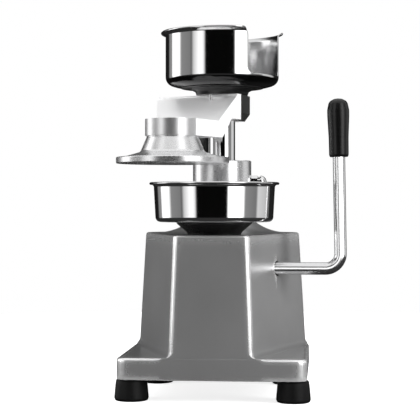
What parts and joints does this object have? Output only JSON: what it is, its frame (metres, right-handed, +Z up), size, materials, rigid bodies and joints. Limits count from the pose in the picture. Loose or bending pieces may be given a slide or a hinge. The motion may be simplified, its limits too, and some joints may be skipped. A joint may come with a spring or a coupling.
{
  "type": "patty press",
  "caption": "Lever-operated press that forms round meat patties: swinging press head on a sliding column, mould in a catch bowl, bin for paper discs, cast base on rubber feet.",
  "frame": {"origin": "centre of the bounding box, on the surface the feet stand on", "axes": "+Z up along the column, -Y towards the user, +X towards the lever"},
  "size_m": [0.308, 0.2994, 0.494],
  "materials": {
    "cast_aluminium": "satin, brushed cast aluminium, mid grey",
    "turned_aluminium": "fine turned satin aluminium",
    "arm_casting": "light satin aluminium, bead blasted",
    "mirror_stainless": "spun stainless steel, mirror polished",
    "dark_steel": "dark turned steel",
    "chrome_rod": "bright chrome plate",
    "plain_steel": "machined steel",
    "bearing_bronze": "sintered bronze",
    "black_rubber": "matt black rubber",
    "black_grip": "satin black moulded plastic",
    "white_plastic": "food-grade white plastic",
    "zinc_screw": "zinc plated"
  },
  "bodies": {
    "base": {"base_casting": "cast_aluminium", "bottom_plate": "plain_steel", "bottom_screws": "zinc_screw", "rubber_feet": "black_rubber", "foot_screws": "zinc_screw", "column_guide": "turned_aluminium", "guide_bolts": "dark_steel", "upper_column_bush": "bearing_bronze", "lower_column_bush": "bearing_bronze", "side_screw": "chrome_rod", "bowl_neck": "dark_steel", "neck_screws": "dark_steel", "lower_bowl": "mirror_stainless", "mould_ring": "white_plastic", "mould_screws": "zinc_screw", "ejector_bush": "bearing_bronze", "right_shaft_bush": "bearing_bronze", "left_shaft_bush": "bearing_bronze", "spring_post": "dark_steel"},
    "lever": {"lever_rod": "chrome_rod", "lever_grip": "black_grip", "left_cam": "dark_steel", "right_cam": "dark_steel", "ejector_finger": "dark_steel", "shaft_pins": "plain_steel", "shaft_ring": "dark_steel"},
    "lift": {"column": "chrome_rod", "yoke": "plain_steel", "follower_pins": "plain_steel", "yoke_screw": "dark_steel", "thrust_ring": "bearing_bronze", "head_washer": "plain_steel", "head_bolt": "dark_steel", "return_spring": "plain_steel"},
    "head": {"press_arm": "arm_casting", "arm_bush": "bearing_bronze", "press_plate": "turned_aluminium", "plate_bolt": "zinc_screw", "bin_neck": "dark_steel", "paper_bin": "mirror_stainless", "bin_screws": "zinc_screw", "swing_stop_pin": "dark_steel"},
    "ejector": {"ejector_plate": "white_plastic", "ejector_rod": "plain_steel", "ejector_nut": "plain_steel", "ejector_lock_nut": "plain_steel"}
  },
  "joints": [
    {"name": "lever_pull", "type": "hinge", "parent": "base", "child": "lever", "pos_m": [-0.02245, -0.02625, 0.167], "axis": [1, 0, 0], "range_deg": [0, 75]},
    {"name": "press_stroke", "type": "slide", "parent": "base", "child": "lift", "axis": [0, 0, -1], "range_m": [0, 0.0235], "stiffness_N_per_m": 1500, "springref_m": -0.06, "deforming": ["return_spring"]},
    {"name": "head_swing", "type": "hinge", "parent": "lift", "child": "head", "pos_m": [-0.02245, 0.06375, 0.38], "axis": [0, 0, 1], "range_deg": [-63.8, 26.2]},
    {"name": "ejector_stroke", "type": "slide", "parent": "base", "child": "ejector", "axis": [0, 0, -1], "range_m": [0, 0.0122]}
  ],
  "couplings": [
    {"joint": "press_stroke", "follows": "lever_pull", "m_per_rad": 0.0178},
    {"joint": "ejector_stroke", "follows": "lever_pull", "m_per_rad": 0.0091673}
  ]
}
